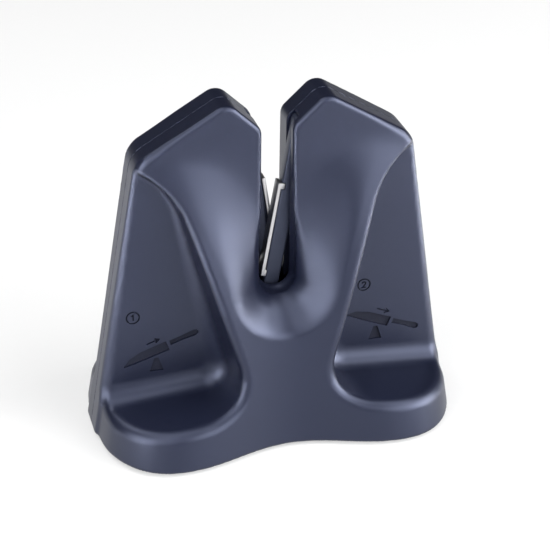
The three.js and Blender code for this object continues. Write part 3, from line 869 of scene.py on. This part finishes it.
# Feet: four pads of matt black rubber, each with a dished middle, that stand proud of the underside.
# They are glued into round recesses in the two half shells.
foot_pad_foot = -underside
foot_pad_top = foot_pad_sink - fit_gap
foot_pad_bevel = 0.25 * mm
dish_top = foot_pad_foot + 0.15 * mm
dish_radius, dish_rim_radius = 2.4 * mm, 2.9 * mm
foot_pad_line = eased([
    (0, dish_top), (dish_radius, dish_top), (dish_rim_radius, foot_pad_foot),
    (foot_pad_radius, foot_pad_foot), (foot_pad_radius, foot_pad_top), (0, foot_pad_top),
], foot_pad_bevel)
black_rubber, shader, place = surface("black_rubber")
cloud, pitted = noise(place, 1.5 * mm), noise(place, 0.15 * mm)
feed(shader, {
    "Base Color": mixed(cloud, (0.010, 0.010, 0.011), (0.020, 0.020, 0.021)),
    "Roughness": 0.66 + 0.16 * pitted,
    "Normal": bumped(pitted, 0.01 * mm),
})
for end, towards_rear in (("front", -1), ("rear", 1)):
    for side, hand in (("left", -1), ("right", 1)):
        pad = smooth(turned(foot_pad_line))
        pad.transform(Matrix.Rotation(math.pi / 2, 4, "X"))
        pad_place = (hand * foot_pad_place[0], towards_rear * foot_pad_place[1], underside)
        pad.transform(Matrix.Translation(pad_place))
        node = end + "_" + side + "_foot"
        add_piece(pad, node + "_pad", [black_rubber], node, "body")

# Floor: a wide sheet of white paper that the object stands on. It reads as white to the camera
# and in reflections, and it keeps the object's shadow.
floor_reach = 3
white_share = 0.45
floor_corners = [(x * floor_reach, y * floor_reach, 0) for x, y in ((-1, -1), (1, -1), (1, 1), (-1, 1))]
floor_mesh = bpy.data.meshes.new("floor")
floor_mesh.from_pydata(floor_corners, [], [(0, 1, 2, 3)])
floor = bpy.data.objects.new("floor", floor_mesh)
scene.collection.objects.link(floor)
white_sheet, shader, place = surface("white_sheet")
fibre = noise(place, 2 * mm)
feed(shader, {"Base Color": mixed(fibre, (0.69, 0.69, 0.69), (0.71, 0.71, 0.71)), "Roughness": 0.9})
rays = [Wire(place.tree, place.tree.nodes.new("ShaderNodeLightPath").outputs[kind + " Ray"])
        for kind in ("Is Camera", "Is Glossy", "Is Transmission")]
glow = place.node("ShaderNodeEmission", {}, {"Color": (1, 1, 1, 1), "Strength": 1})
lit = Wire(place.tree, shader.outputs[0])
white_for = white_share * (rays[0] + rays[1] + rays[2])
seen = place.node("ShaderNodeMixShader", {}, {0: white_for, 1: lit, 2: glow})
feed(place.tree.nodes["Material Output"], {"Surface": seen})
floor_mesh.materials.append(white_sheet)

# Light: soft boxes of studio light round the object and above it, in a dim grey room. Two narrow
# lamps over the floor on the left and right brighten what the plastic mirrors there.
scene.view_settings.view_transform = "Standard"
room_grey = 0.06
room = bpy.data.worlds.new("room")
room.use_nodes = True
room.node_tree.nodes["Background"].inputs["Color"].default_value = (room_grey, room_grey, room_grey, 1)
scene.world = room
floor_lamp_height = 0.5
floor_lamp_size = 0.14
floor_lamp_spread = math.radians(32)


def direction(azimuth, elevation):
    azimuth, elevation = math.radians(azimuth), math.radians(elevation)
    across, ahead = math.sin(azimuth) * math.cos(elevation), math.cos(azimuth) * math.cos(elevation)
    return Vector((across, -ahead, math.sin(elevation)))


def area_lamp(name, shape, power):
    light = bpy.data.lights.new(name, "AREA")
    light.shape = shape
    light.energy = power
    lamp = bpy.data.objects.new(name, light)
    scene.collection.objects.link(lamp)
    return lamp


def softbox(name, azimuth, elevation, distance, size, power):
    lamp = area_lamp(name, "RECTANGLE", power)
    lamp.data.size, lamp.data.size_y = size
    towards = direction(azimuth, elevation)
    lamp.location = Vector((0, 0, slot_centre)) + towards * distance
    lamp.rotation_euler = towards.to_track_quat("Z", "Y").to_euler()


def floor_lamp(name, azimuth, distance, power):
    """A disc that shines straight down, in a narrow beam beside the object."""
    lamp = area_lamp(name, "DISK", power)
    lamp.data.size = floor_lamp_size
    lamp.data.spread = floor_lamp_spread
    lamp.location = direction(azimuth, 0) * distance + Vector((0, 0, floor_lamp_height))


softbox("right", 70, 10, 0.8, (0.6, 0.7), 12)
softbox("right_above", 58, 52, 0.9, (0.5, 0.45), 2.6)
softbox("front_right", 34, 20, 0.9, (0.7, 0.65), 6.2)
softbox("front_left", -30, 32, 0.9, (0.65, 0.85), 3.8)
softbox("left", -66, 14, 0.8, (0.5, 0.85), 7.5)
softbox("top", -45, 74, 0.9, (0.7, 0.6), 3)
softbox("rear_left", -125, 55, 0.9, (0.4, 0.4), 1.6)
floor_lamp("left_pool", -62, 0.25, 3.2)
floor_lamp("right_pool", 75, 0.26, 3.4)

# Camera: a long lens a little to the left, looking down on the front.
# It is rolled slightly about its own line of sight.
camera = bpy.data.cameras.new("camera")
camera.lens = 110.64
camera.sensor_width = 36
camera.dof.use_dof = False
eye = bpy.data.objects.new("camera", camera)
camera_distance = 386 * mm
camera_roll = math.radians(0.88)
camera_azimuth, camera_elevation = -16.2, 29.58
aim_across, aim_height = 1.44 * mm, 33.37 * mm
view = direction(camera_azimuth, camera_elevation)
target = Vector((aim_across, 0, aim_height + underside))
turn = view.to_track_quat("Z", "Y").to_matrix() @ Matrix.Rotation(camera_roll, 3, "Z")
eye.matrix_world = Matrix.Translation(target + view * camera_distance) @ turn.to_4x4()
scene.collection.objects.link(eye)
scene.camera = eye
